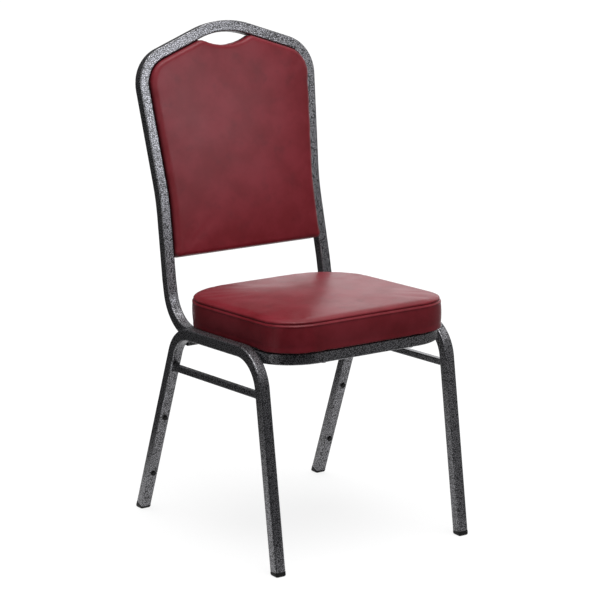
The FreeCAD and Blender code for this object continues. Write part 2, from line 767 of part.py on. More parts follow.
def upright_inside(y):
    """Half width between the inner faces of the hoop's uprights at a height."""
    ends = (HOOP_FOOT, HOOP_WAIST) if y < HOOP_WAIST.y else (HOOP_WAIST, HOOP_SHOULDER)
    return meet(offset_line(*ends, TUBE / 2), (V(0, y, 0), V(1, 0, 0))).x


TAB_LOW = "-panel_rear - tab_thick"
tabs = []
screws = []
for height in ("tab_low", "tab_high"):
    middle = size(height)
    edges = [upright_inside(middle + offset) for offset in (-size("tab_width") / 2, size("tab_width") / 2)]
    face = max(edges)
    plate = DOC.addObject("Part::Box", height + "_plate")
    bind(plate, Width="tab_width", Height="tab_thick", Length="tab_reach + %.6f" % (face - min(edges)))
    hoop_place(plate, "%.6f - tab_reach" % min(edges), height + " - tab_width / 2", TAB_LOW)
    coped = cut(height + "_coped", plate, hoop_outside)
    screw_x = min(edges) - size("tab_reach") / 2
    hole = hoop_cylinder(height + "_hole", screw_x, height, "screw_radius", TAB_LOW, "tab_thick")
    right = cut(height + "_tab", coped, hole)
    tabs += [right, mirror(height + "_tab_left", right)]
    shank = hoop_cylinder(height + "_shank", screw_x, height, "screw_radius", TAB_LOW,
                          "tab_thick + cover_skin + screw_length")
    head = hoop_cylinder(height + "_head", screw_x, height, "screw_head_radius", TAB_LOW + " - screw_head",
                         "screw_head")
    screw = fuse(height + "_screw", shank, head)
    screws += [screw, mirror(height + "_screw_left", screw)]
group("back_tabs", tabs)
group("back_screws", screws)
DOC.recompute()
for screw in screws:
    back_board = cut("pilot_" + screw.Name, back_board, screw)
    rear_skin = cut("skin_" + screw.Name, rear_skin, screw)
node(back_board, "back_board")
node(rear_skin, "back_rear_cover")

DOC.recompute()

# Every object has to be sound before anything is written
for item in DOC.Objects:
    if "Invalid" in item.State or "Error" in item.State:
        raise RuntimeError("failed object: " + item.Label)
for item in NODES:
    if item.Shape.isNull() or not item.Shape.isValid() or not item.Shape.Solids:
        raise RuntimeError("bad shape: " + item.Label)

os.makedirs("parts", exist_ok=True)
for item in NODES:
    item.Shape.exportStep("parts/%s.step" % item.Label)
    print("%-22s solids %2d volume %12.1f" % (item.Label, len(item.Shape.Solids), item.Shape.Volume))
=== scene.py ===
import math
import bpy
from bpy.props import FloatProperty, FloatVectorProperty, PointerProperty
from bpy.types import Operator, Panel, PropertyGroup
from mathutils import Matrix, Vector, noise


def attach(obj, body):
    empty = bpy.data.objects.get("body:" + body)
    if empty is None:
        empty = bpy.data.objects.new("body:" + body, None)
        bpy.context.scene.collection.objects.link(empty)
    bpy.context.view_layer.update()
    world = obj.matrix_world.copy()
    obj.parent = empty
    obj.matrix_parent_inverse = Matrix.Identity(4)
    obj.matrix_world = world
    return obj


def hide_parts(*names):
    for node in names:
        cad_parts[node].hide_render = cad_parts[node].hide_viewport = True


bl_info = {
    "name": "Stacking banquet chair",
    "version": (1, 0, 0),
    "blender": (4, 5, 0),
    "location": "3D View > Sidebar > Chair",
    "description": "Upholsters and finishes a welded stacking chair around its solid frame",
    "category": "Object",
}

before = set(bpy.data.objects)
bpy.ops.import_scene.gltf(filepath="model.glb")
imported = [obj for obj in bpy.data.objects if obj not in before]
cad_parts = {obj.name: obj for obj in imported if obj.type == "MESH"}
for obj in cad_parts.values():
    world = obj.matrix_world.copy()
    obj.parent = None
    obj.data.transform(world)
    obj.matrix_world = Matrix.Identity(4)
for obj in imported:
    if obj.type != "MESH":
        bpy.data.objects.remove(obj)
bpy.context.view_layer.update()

MM = 0.001

# The seat slopes back and the hoop leans back, so cushions are shaped in their own level frames
SEAT_PLANE = Matrix.Translation((0, 0, 412.8 * MM)) @ Matrix.Rotation(math.radians(-2.5), 4, "X")
SEAT_FRAME = SEAT_PLANE @ Matrix.Translation((0, 0, -3 * MM))
HOOP_FRAME = Matrix.Translation((0, 167.9 * MM, 477.9 * MM)) @ Matrix.Rotation(math.radians(78.8), 4, "X")
BACK_BOARD_FRONT = 5.2 * MM
BACK_BOARD_REAR = -4.8 * MM

# The legs: where their axes meet the floor, how they lean, and the tube
LEG_X = 213.3 * MM
FRONT_FOOT = -263.5 * MM
REAR_FOOT = 230.5 * MM
FRONT_RAKE = math.radians(8.5)
REAR_RAKE = math.radians(-20.7)
TUBE_HALF = 11.0 * MM
TUBE_CORNER = 3.5 * MM
TUBE_END = 5.0 * MM
BUMPER_HEIGHTS = {"low": 86.3 * MM, "high": 212.6 * MM}

TUBE_NODES = (
    "left_leg_frame", "right_leg_frame", "back_hoop", "front_seat_rail", "rear_cross_rail",
    "left_side_stretcher", "right_side_stretcher", "frame_welds", "back_tabs",
)


class ChairSizes(PropertyGroup):
    """Sizes of the upholstery and the small parts."""

    voxel: FloatProperty(
        name="Cover grid", description="Grid of the cushion mesh before it is filled",
        default=5 * MM, unit="LENGTH")
    cover_pressure: FloatProperty(
        name="Filling pressure", description="Pressure that fills the covers",
        default=4.0)
    board_under: FloatProperty(
        name="Cover under board", description="Thickness of the cover under the board",
        default=0.25 * MM, unit="LENGTH")
    rim_drop: FloatProperty(
        name="Rim drop", description="How far the cover's folded rim hangs in front",
        default=4.2 * MM, unit="LENGTH")
    side_drop: FloatProperty(
        name="Side drop", description="How far the folded rim hangs at the sides and the rear",
        default=1.0 * MM, unit="LENGTH")
    fold_radius: FloatProperty(
        name="Fold radius", description="Radius of the cover's fold round the board's edge",
        default=2.2 * MM, unit="LENGTH")
    rim_width: FloatProperty(
        name="Rim width", description="Width of the folded rim under the board",
        default=16 * MM, unit="LENGTH")
    seat_crown: FloatProperty(
        name="Seat crown", description="Rise of the middle of the seat over its foam",
        default=6.2 * MM, unit="LENGTH")
    seat_belly: FloatProperty(
        name="Boxing belly", description="Roundness of the boxing before it is filled",
        default=1.6 * MM, unit="LENGTH")
    seat_bulge: FloatProperty(
        name="Boxing bulge", description="Most that the filling moves the boxing",
        default=0.5 * MM, unit="LENGTH")
    seam_height: FloatProperty(
        name="Seam height", description="Height of the seam over the underside of the board",
        default=50.6 * MM, unit="LENGTH")
    seam_depth: FloatProperty(
        name="Seam depth", description="Depth of the groove that the seam pulls in",
        default=1.9 * MM, unit="LENGTH")
    seam_roll: FloatProperty(
        name="Seam roll", description="Height of the rolled edge of the top over the seam",
        default=0.8 * MM, unit="LENGTH")
    seam_lip: FloatProperty(
        name="Seam lip", description="Height of the turned edge of the boxing under the seam",
        default=1.0 * MM, unit="LENGTH")
    back_crown: FloatProperty(
        name="Back crown", description="Rise of the middle of the back panel over its foam",
        default=3.0 * MM, unit="LENGTH")
    back_swell: FloatProperty(
        name="Back swell", description="How far the back panel's edge stands out over the hoop",
        default=3.2 * MM, unit="LENGTH")
    rear_crown: FloatProperty(
        name="Rear crown", description="Rise of the middle of the back panel's rear cover",
        default=1.6 * MM, unit="LENGTH")
    rear_wrap: FloatProperty(
        name="Rear wrap", description="How far the rear cover wraps out over the board's edge",
        default=1.4 * MM, unit="LENGTH")
    dust_inset: FloatProperty(
        name="Dust cover inset", description="From the seat's outline to the dust cover's edge",
        default=6.5 * MM, unit="LENGTH")
    dust_sag: FloatProperty(
        name="Dust cover sag", description="How far the middle of the dust cover hangs",
        default=1.2 * MM, unit="LENGTH")
    staple: FloatProperty(
        name="Staple", description="Length of a staple's crown",
        default=9 * MM, unit="LENGTH")
    glide_wall: FloatProperty(
        name="Glide wall", description="Wall of a glide's cup round the tube",
        default=0.35 * MM, unit="LENGTH")
    front_lip: FloatProperty(
        name="Front glide lip", description="How far a front glide's cup laps the tube behind",
        default=1.6 * MM, unit="LENGTH")
    rear_lip: FloatProperty(
        name="Rear glide lip", description="How far a rear glide's cup laps the tube in front",
        default=0.6 * MM, unit="LENGTH")
    glide_round: FloatProperty(
        name="Glide edge", description="Rounding under a glide",
        default=4.0 * MM, unit="LENGTH")
    glide_plug: FloatProperty(
        name="Glide plug", description="Length of a glide's plug inside the tube",
        default=20 * MM, unit="LENGTH")
    bumper_radius: FloatProperty(
        name="Bumper radius", description="Radius of a stacking bumper's head",
        default=5.4 * MM, unit="LENGTH")
    bumper_height: FloatProperty(
        name="Bumper height", description="Height of a stacking bumper's head",
        default=3.5 * MM, unit="LENGTH")


class ChairColours(PropertyGroup):
    """Colours of the finishes."""

    vinyl: FloatVectorProperty(
        name="Vinyl", description="Main colour of the cover",
        subtype="COLOR", default=(0.172, 0.011, 0.017))
    vinyl_light: FloatVectorProperty(
        name="Vinyl, pale", description="Paler clouds in the cover",
        subtype="COLOR", default=(0.225, 0.021, 0.031))
    vinyl_dark: FloatVectorProperty(
        name="Vinyl, dark", description="Darker clouds in the cover",
        subtype="COLOR", default=(0.085, 0.008, 0.011))
    coat_black: FloatVectorProperty(
        name="Coat, ground", description="Black ground of the powder coat",
        subtype="COLOR", default=(0.013, 0.013, 0.015))
    coat_silver: FloatVectorProperty(
        name="Coat, silver", description="Silver flecks of the powder coat",
        subtype="COLOR", default=(0.312, 0.308, 0.328))
    moulded_black: FloatVectorProperty(
        name="Moulded black", description="Plastic of the glides and spacers",
        subtype="COLOR", default=(0.008, 0.008, 0.008))
    zinc: FloatVectorProperty(
        name="Zinc", description="Plating of the screws, nuts and staples",
        subtype="COLOR", default=(0.52, 0.52, 0.50))
    # Near-black plating for the bolts under the seat, far darker than the zinc of the other fixings, so
    # that they show no bright reflection of the floor there
    dark_bolt_plating: FloatVectorProperty(
        name="Dark bolt plating", description="Plating of the bolts under the seat",
        subtype="COLOR", default=(0.035, 0.035, 0.037))
    ply_pale: FloatVectorProperty(
        name="Plywood, pale", description="Early wood of the boards",
        subtype="COLOR", default=(0.62, 0.45, 0.28))
    ply_dark: FloatVectorProperty(
        name="Plywood, dark", description="Late wood of the boards",
        subtype="COLOR", default=(0.40, 0.25, 0.13))
    dust_black: FloatVectorProperty(
        name="Dust cloth", description="Spun cloth under the seat",
        subtype="COLOR", default=(0.014, 0.014, 0.015))


class ChairStage(PropertyGroup):
    """Camera, floor and lights."""

    azimuth: FloatProperty(
        name="Azimuth", description="Turn of the camera round the chair",
        default=math.radians(-33.982), subtype="ANGLE")
    elevation: FloatProperty(
        name="Elevation", description="Rise of the camera over the horizon",
        default=math.radians(13.715), subtype="ANGLE")
    distance: FloatProperty(
        name="Distance", description="From the camera to its target",
        default=5.0654, unit="LENGTH")
    target: FloatVectorProperty(
        name="Target", description="Point that the camera looks at",
        subtype="XYZ", default=(4.084 * MM, -15.5 * MM, 449.19 * MM))
    lens: FloatProperty(
        name="Lens", description="Focal length in millimetres on a 36 mm sensor",
        default=156.36)
    shift: FloatProperty(
        name="Shift", description="Sideways shift of the picture",
        default=-0.0011)
    key_power: FloatProperty(
        name="Key power", description="Power of the soft box in front",
        default=8.0, unit="POWER")
    back_power: FloatProperty(
        name="Back power", description="Power of the soft box behind the chair",
        default=10.3, unit="POWER")
    corner_power: FloatProperty(
        name="Corner power", description="Power of the small soft box near the back",
        default=0.34, unit="POWER")
    top_strength: FloatProperty(
        name="Top strength", description="Strength of the soft light from above",
        default=2.6)
    ambient: FloatProperty(
        name="Ambient", description="Strength of the light from all round",
        default=0.15)
    floor_grey: FloatProperty(
        name="Floor grey", description="Colour of the floor under the lights",
        default=0.2)
    floor_white: FloatProperty(
        name="Floor white", description="Light that lifts the floor to white in the picture",
        default=0.86)


# Outline of the seat, in its own frame

SEAT_HALF = 198.6 * MM
SEAT_FRONT = -260.8 * MM
SEAT_REAR = 140.5 * MM
FRONT_CORNER = 74.4 * MM
REAR_CORNER = 119.6 * MM
SEAT_MIDDLE = (SEAT_FRONT + SEAT_REAR) / 2
SEAT_BOARD = 12 * MM

# The stretch of each side with a weld close under the seat
WELD_FRONT = -40 * MM
WELD_REAR = 22 * MM


def seat_inside(place):
    """How far a point is inside the seat's outline, and the way straight out of it."""
    depth = (SEAT_REAR - SEAT_FRONT) / 2
    corner = FRONT_CORNER if place.y < SEAT_MIDDLE else REAR_CORNER
    x = abs(place.x) - (SEAT_HALF - corner)
    y = abs(place.y - SEAT_MIDDLE) - (depth - corner)
    side = math.copysign(1.0, place.x)
    end = math.copysign(1.0, place.y - SEAT_MIDDLE)
    if x > 0 and y > 0:
        return corner - math.hypot(x, y), Vector((side * x, end * y, 0)).normalized()
    if x > y:
        return corner - x, Vector((side, 0, 0))
    return corner - y, Vector((0, end, 0))


def share_of(value):
    """A value kept between 0 and 1."""
    return min(1.0, max(0.0, value))


def clear_of(place, spacers):
    """0 where a spacer bears on the seat's underside, rising to 1 a little way from it."""
    bearing, blend = 12.5 * MM, 7 * MM
    away = min((place.xy - spot).length for spot in spacers)
    return share_of((away - bearing) / blend)


def rim_fall(place, sizes, spacers):
    """How far the folded rim of the cover pulls the seat's underside down, less over the side welds."""
    inside, out = seat_inside(place)
    if inside > sizes.rim_width:
        return 0.0
    depth = max(0.0, inside)
    near = 1 - depth / sizes.rim_width
    front = share_of((WELD_FRONT - place.y) / (60 * MM))
    rear = share_of((place.y - WELD_REAR) / (10 * MM))
    drop = sizes.side_drop * (1 + rear) + (sizes.rim_drop - sizes.side_drop) * front
    outer_edge = 4 * MM
    loose = max(clear_of(place, spacers), 1 - depth / outer_edge)
    return (drop - sizes.board_under) * math.sqrt(near) * loose


def seat_rim(inset, spacing):
    """Evenly spaced points on a line inside the seat's outline, each with the way straight out."""
    middle = Vector((0, SEAT_MIDDLE, 0))
    path = []
    for step in range(720):
        angle = math.radians(step / 2)
        way = Vector((math.cos(angle), math.sin(angle), 0))
        near, far = 0.0, 2 * SEAT_HALF
        for halving in range(30):
            reach = (near + far) / 2
            if seat_inside(middle + way * reach)[0] > inset:
                near = reach
            else:
                far = reach
        path.append(middle + way * near)
    path.append(path[0])
    lengths = [(b - a).length for a, b in zip(path, path[1:])]
    count = round(sum(lengths) / spacing)
    pitch = sum(lengths) / count
    walked = 0.0
    points = []
    for place, length in zip(path, lengths):
        if walked >= len(points) * pitch:
            points.append((place, seat_inside(place)[1]))
        walked += length
    return points


# Selection and shared steps of modelling

def leave_edit():
    """Go back to object mode with nothing selected."""
    if bpy.context.object and bpy.context.object.mode != "OBJECT":
        bpy.ops.object.mode_set(mode="OBJECT")
    bpy.ops.object.select_all(action="DESELECT")


def take(piece):
    """Make one piece the only selected object, in object mode."""
    leave_edit()
    piece.select_set(True)
    bpy.context.view_layer.objects.active = piece


def primitive(kind, name, sides=(1.0, 1.0, 1.0), **settings):
    """Start a piece from a primitive, stretched to its sides, with its place and size in its mesh."""
    leave_edit()
    getattr(bpy.ops.mesh, "primitive_%s_add" % kind)(**settings)
    piece = bpy.context.object
    piece.name = name
    piece.data.name = name
    piece.scale = sides
    bpy.ops.object.transform_apply(location=True, rotation=True, scale=True)
    return piece


def twin(piece, name):
    """A copy of a piece with its own mesh."""
    copy = bpy.data.objects.new(name, piece.data.copy())
    copy.data.name = name
    bpy.context.scene.collection.objects.link(copy)
    return copy


def gather(pieces, name):
    """Join like pieces into one."""
    take(pieces[0])
    for piece in pieces:
        piece.select_set(True)
    bpy.ops.object.join()
    pieces[0].name = name
    pieces[0].data.name = name
    return pieces[0]


def discard(piece):
    """Take a helper away again."""
    leave_edit()
    bpy.data.objects.remove(piece)


def merge_doubles(piece):
    """Merge points that lie on one another."""
    take(piece)
    bpy.ops.object.mode_set(mode="EDIT")
    bpy.ops.mesh.select_all(action="SELECT")
    bpy.ops.mesh.remove_doubles(threshold=0.01 * MM)
    bpy.ops.object.mode_set(mode="OBJECT")


def copy_of(node, name, place):
    """Start a piece from a solid's own mesh, with its loose triangles merged, in a frame of its own."""
    piece = twin(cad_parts[node], name)
    piece.data.materials.clear()
    piece.data.transform(place.inverted())
    merge_doubles(piece)
    return piece


def islands(node, place):
    """The low and high corners of each separate solid of a node, in a frame of its own."""
    take(copy_of(node, "islands", place))
    bpy.ops.object.mode_set(mode="EDIT")
    bpy.ops.mesh.select_all(action="SELECT")
    bpy.ops.mesh.separate(type="LOOSE")
    bpy.ops.object.mode_set(mode="OBJECT")
    boxes = []
    for part in list(bpy.context.selected_objects):
        axes = list(zip(*(point.co for point in part.data.vertices)))
        boxes.append((Vector([min(axis) for axis in axes]), Vector([max(axis) for axis in axes])))
        bpy.data.objects.remove(part)
    return boxes


def spacer_spots():
    """The middles of the spacers, in the seat's frame."""
    return [((low + high) / 2).xy for low, high in islands("seat_spacers", SEAT_FRAME)]


def start_selecting(piece, mode):
    """Clear the selection of a piece's mesh, and choose points, edges or faces."""
    take(piece)
    bpy.context.tool_settings.mesh_select_mode = [kind == mode for kind in ("points", "edges", "faces")]
    bpy.ops.object.mode_set(mode="EDIT")
    bpy.ops.mesh.select_all(action="DESELECT")
    bpy.ops.object.mode_set(mode="OBJECT")


def select_points(piece, wanted):
    """Go into edit mode with just the points selected that pass a test of their place."""
    start_selecting(piece, "points")
    for point in piece.data.vertices:
        point.select = wanted(point.co)
    bpy.ops.object.mode_set(mode="EDIT")


def select_edges(piece, wanted):
    """Go into edit mode with just the edges selected whose two ends pass a test."""
    start_selecting(piece, "edges")
    points = piece.data.vertices
    for edge in piece.data.edges:
        edge.select = wanted(*(points[end].co for end in edge.vertices))
    bpy.ops.object.mode_set(mode="EDIT")


def select_faces(piece, wanted):
    """Go into edit mode with just the faces selected that pass a test of their middle and normal."""
    start_selecting(piece, "faces")
    for face in piece.data.polygons:
        face.select = wanted(face.center, face.normal)
    bpy.ops.object.mode_set(mode="EDIT")


def push(x, y, z):
    """Extrude what is selected."""
    bpy.ops.mesh.extrude_region_move(TRANSFORM_OT_translate={"value": (x, y, z)})


def drop_face(piece, level, to, pockets=0.05 * MM):
    """Move a lower face of a piece to another level, so the walls follow, and close its shallow pockets."""
    select_points(piece, lambda place: place.z < level + pockets)
    bpy.ops.transform.resize(value=(1, 1, 0), center_override=(0, 0, level))
    bpy.ops.transform.translate(value=(0, 0, to - level))
    bpy.ops.object.mode_set(mode="OBJECT")


def apply_modifier(piece, kind, **settings):
    """Add a modifier and apply it at once."""
    take(piece)
    modifier = piece.modifiers.new(kind.lower(), kind)
    for name, value in settings.items():
        setattr(modifier, name, value)
    bpy.ops.object.modifier_apply(modifier=modifier.name)


def regrid(piece, voxel):
    """Cover a closed piece with an even grid of quads."""
    apply_modifier(piece, "REMESH", mode="VOXEL", voxel_size=voxel)


def fill_out(piece, sizes, held, zones):
    """Blow a cover up with its held points fixed, and cap the movement in each zone."""
    take(piece)
    before = [point.co.copy() for point in piece.data.vertices]
    group = piece.vertex_groups.new(name="held")
    group.add([point.index for point in piece.data.vertices if held(point.co)], 1.0, "REPLACE")
    modifier = piece.modifiers.new("cover", "CLOTH")
    settings = modifier.settings
    settings.use_pressure = True
    settings.uniform_pressure_force = sizes.cover_pressure
    settings.effector_weights.gravity = 0.0
    settings.vertex_group_mass = group.name
    modifier.point_cache.frame_start = 1
    modifier.point_cache.frame_end = 20
    for number in range(1, 21):
        bpy.context.scene.frame_set(number)
    bpy.ops.object.modifier_apply(modifier=modifier.name)
    bpy.context.scene.frame_set(1)
    piece.vertex_groups.clear()
    points = piece.data.vertices
    for inside, cap in zones:
        chosen = [i for i, place in enumerate(before) if inside(place)]
        farthest = max((points[i].co - before[i]).length for i in chosen)
        share = min(1.0, cap / farthest)
        for i in chosen:
            points[i].co = before[i].lerp(points[i].co, share)


def soften(piece):
    """One level of subdivision."""
    apply_modifier(piece, "SUBSURF", levels=1, render_levels=1)


def slice_level(piece, level):
    """Cut a loop of edges right round a piece at one level."""
    take(piece)
    bpy.ops.object.mode_set(mode="EDIT")
    bpy.ops.mesh.select_all(action="SELECT")
    bpy.ops.mesh.bisect(plane_co=(0, 0, level), plane_no=(0, 0, 1))
    bpy.ops.object.mode_set(mode="OBJECT")


def settle(piece, place, material, slot, *nodes, crease=None):
    """Put a finished piece in its place in the chair, with its finish and what it stands for."""
    piece.data.transform(place)
    take(piece)
    if crease:
        bpy.ops.object.shade_smooth_by_angle(angle=math.radians(crease))
    else:
        bpy.ops.object.shade_smooth()
    piece.data.materials.append(material)
    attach(piece, "root")
    if nodes:
        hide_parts(*nodes)


# Node materials

def grow(tree, kind, sockets, **settings):
    """Add a node, give its sockets values or links, and set its options."""
    node = tree.nodes.new(kind)
    for name, value in settings.items():
        setattr(node, name, value)
    for name, value in sockets.items():
        if isinstance(value, bpy.types.NodeSocket):
            tree.links.new(value, node.inputs[name])
        else:
            node.inputs[name].default_value = value
    return node


def new_finish(name):
    """A material with its shader and the place on the piece."""
    material = bpy.data.materials.new(name)
    material.use_nodes = True
    tree = material.node_tree
    place = tree.nodes.new("ShaderNodeTexCoord").outputs["Object"]
    return material, tree, tree.nodes["Principled BSDF"], place


def cloud(tree, place, scale, detail=2.0, roughness=0.5):
    """Soft noise, from 0 to 1."""
    sockets = {"Vector": place, "Scale": scale, "Detail": detail, "Roughness": roughness}
    return grow(tree, "ShaderNodeTexNoise", sockets)


def cell_edges(tree, place, scale):
    """How far a place is from the edge of its cell, in cells."""
    sockets = {"Vector": place, "Scale": scale}
    return grow(tree, "ShaderNodeTexVoronoi", sockets, feature="DISTANCE_TO_EDGE").outputs["Distance"]


def ramp(tree, value, low, high, start=0.0, end=1.0):
    """Turn a span of values into another, smoothly and clamped."""
    sockets = {"Value": value, "From Min": low, "From Max": high, "To Min": start, "To Max": end}
    return grow(tree, "ShaderNodeMapRange", sockets, interpolation_type="SMOOTHSTEP").outputs[0]


def mix_colour(tree, share, first, second):
    """Mix two colours."""
    sockets = {0: share, 6: first, 7: second}
    return grow(tree, "ShaderNodeMix", sockets, data_type="RGBA").outputs[2]


def combine(tree, operation, first, second):
    """A sum on two values."""
    return grow(tree, "ShaderNodeMath", {0: first, 1: second}, operation=operation).outputs[0]


def rgba(colour):
    """A colour with full alpha."""
    return (*colour, 1.0)


def relief(tree, shader, height, strength, depth):
    """Give a shader a bump."""
    sockets = {"Height": height, "Strength": strength, "Distance": depth}
    tree.links.new(grow(tree, "ShaderNodeBump", sockets).outputs["Normal"], shader.inputs["Normal"])


def vein_coat(colours):
    """Powder coat with silver flecks in a black network."""
    material, tree, shader, place = new_finish("silver_vein_coat")
    drift = cloud(tree, place, 520.0, 2.0).outputs["Color"]
    warped = grow(tree, "ShaderNodeVectorMath", {0: drift, 1: (0.0014, 0.0014, 0.0014), 2: place},
                  operation="MULTIPLY_ADD").outputs[0]
    fleck = ramp(tree, cell_edges(tree, warped, 310.0), 0.07, 0.2)
    patchy = ramp(tree, cloud(tree, place, 180.0, 3.0).outputs["Fac"], 0.3, 0.62, 0.88, 1.0)
    silver = combine(tree, "MULTIPLY", fleck, patchy)
    colour = mix_colour(tree, silver, rgba(colours.coat_black), rgba(colours.coat_silver))
    tree.links.new(colour, shader.inputs["Base Color"])
    tree.links.new(silver, shader.inputs["Metallic"])
    tree.links.new(ramp(tree, silver, 0.0, 1.0, 0.27, 0.37), shader.inputs["Roughness"])
    relief(tree, shader, fleck, 0.25, 0.25 * MM)
    return material


def grained_vinyl(colours):
    """Burgundy vinyl with a fine leather grain and soft clouds of colour."""
    material, tree, shader, place = new_finish("burgundy_vinyl")
    clouds = cloud(tree, place, 14.0, 4.0, 0.6).outputs["Fac"]
    paler = ramp(tree, clouds, 0.32, 0.68)
    colour = mix_colour(tree, paler, rgba(colours.vinyl), rgba(colours.vinyl_light))
    stains = cloud(tree, place, 30.0, 4.0, 0.55).outputs["Fac"]
    colour = mix_colour(tree, ramp(tree, stains, 0.52, 0.78, 0.0, 0.36), colour, rgba(colours.vinyl_dark))
    tree.links.new(colour, shader.inputs["Base Color"])
    smudge = cloud(tree, place, 26.0, 4.0).outputs["Fac"]
    tree.links.new(ramp(tree, smudge, 0.3, 0.7, 0.345, 0.385), shader.inputs["Roughness"])
    pores = cloud(tree, place, 1500.0, 2.0).outputs["Fac"]
    grain = combine(tree, "ADD", ramp(tree, cell_edges(tree, place, 850.0), 0.0, 0.25), pores)
    relief(tree, shader, grain, 0.12, 0.15 * MM)
    shader.inputs["Specular IOR Level"].default_value = 0.21
    return material


def moulded_plastic(name, colour, roughness):
    """Matte moulded plastic or rubber with a fine spark texture."""
    material, tree, shader, place = new_finish(name)
    speck = cloud(tree, place, 900.0, 3.0).outputs["Fac"]
    dusty = [min(1.0, channel * 2.2) for channel in colour]
    speckled = mix_colour(tree, ramp(tree, speck, 0.45, 0.75), rgba(colour), rgba(dusty))
    tree.links.new(speckled, shader.inputs["Base Color"])
    dulled = ramp(tree, speck, 0.3, 0.7, roughness - 0.06, roughness + 0.08)
    tree.links.new(dulled, shader.inputs["Roughness"])
    relief(tree, shader, speck, 0.2, 0.1 * MM)
    shader.inputs["Specular IOR Level"].default_value = 0.15
    return material


def zinc_plate(name, zinc):
    """Zinc plating with a faint warm cast in places and fine drawing marks."""
    material, tree, shader, place = new_finish(name)
    cast = ramp(tree, cloud(tree, place, 260.0, 3.0).outputs["Fac"], 0.4, 0.7)
    warm = [channel * tint for channel, tint in zip(zinc, (1.0, 0.9, 0.7))]
    tree.links.new(mix_colour(tree, cast, rgba(zinc), rgba(warm)), shader.inputs["Base Color"])
    marks = cloud(tree, place, 2200.0, 2.0).outputs["Fac"]
    tree.links.new(ramp(tree, marks, 0.3, 0.7, 0.28, 0.46), shader.inputs["Roughness"])
    shader.inputs["Metallic"].default_value = 1.0
    relief(tree, shader, marks, 0.15, 0.05 * MM)
    return material


def raw_plywood(colours):
    """Sawn plywood with its grain across the chair."""
    material, tree, shader, place = new_finish("raw_plywood")
    drawn = grow(tree, "ShaderNodeMapping", {"Vector": place, "Scale": (0.05, 1.0, 1.0)}).outputs["Vector"]
    grain = cloud(tree, drawn, 190.0, 5.0, 0.6).outputs["Fac"]
    late_wood = ramp(tree, grain, 0.35, 0.65)
    colour = mix_colour(tree, late_wood, rgba(colours.ply_pale), rgba(colours.ply_dark))
    tree.links.new(colour, shader.inputs["Base Color"])
    tree.links.new(ramp(tree, grain, 0.3, 0.7, 0.62, 0.78), shader.inputs["Roughness"])
    relief(tree, shader, grain, 0.3, 0.2 * MM)
    return material


def spun_cloth(colours):
    """Thin black spun cloth with embossed dots and stray fibres."""
    material, tree, shader, place = new_finish("black_spun_cloth")
    fibres = cloud(tree, place, 700.0, 5.0, 0.7).outputs["Fac"]
    worn = [channel * 2.6 for channel in colours.dust_black]
    colour = mix_colour(tree, ramp(tree, fibres, 0.42, 0.68), rgba(colours.dust_black), rgba(worn))
    tree.links.new(colour, shader.inputs["Base Color"])
    tree.links.new(ramp(tree, fibres, 0.3, 0.7, 0.82, 0.95), shader.inputs["Roughness"])
    dots = ramp(tree, cell_edges(tree, place, 620.0), 0.05, 0.3)
    relief(tree, shader, combine(tree, "ADD", dots, fibres), 0.4, 0.2 * MM)
    shader.inputs["Specular IOR Level"].default_value = 0.1
    return material


def shared_finish(name, make, *values):
    """A finish that several pieces share, made once."""
    return bpy.data.materials.get(name) or make(*values)


def coat_node(node, material):
    """Give a solid that is kept its finish."""
    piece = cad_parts[node]
    if not piece.material_slots:
        raise RuntimeError(node + " has no material slot")
    for slot in piece.material_slots:
        slot.material = material


class CHAIR_OT_kept_finishes(Operator):
    """Finish the welded tube frame and the solids inside the cushions"""

    bl_idname = "chair.kept_finishes"
    bl_label = "Frame and inner parts"

    def execute(self, context):
        colours = context.scene.chair_colours
        coat = vein_coat(colours)
        for node in TUBE_NODES:
            coat_node(node, coat)
        board = raw_plywood(colours)
        for node in ("seat_board", "back_board"):
            coat_node(node, board)
        coat_node("seat_spacers", moulded_plastic("spacer_plastic", colours.moulded_black, 0.55))
        coat_node("seat_tee_nuts", shared_finish("zinc_plate", zinc_plate, "zinc_plate", colours.zinc))
        return {"FINISHED"}


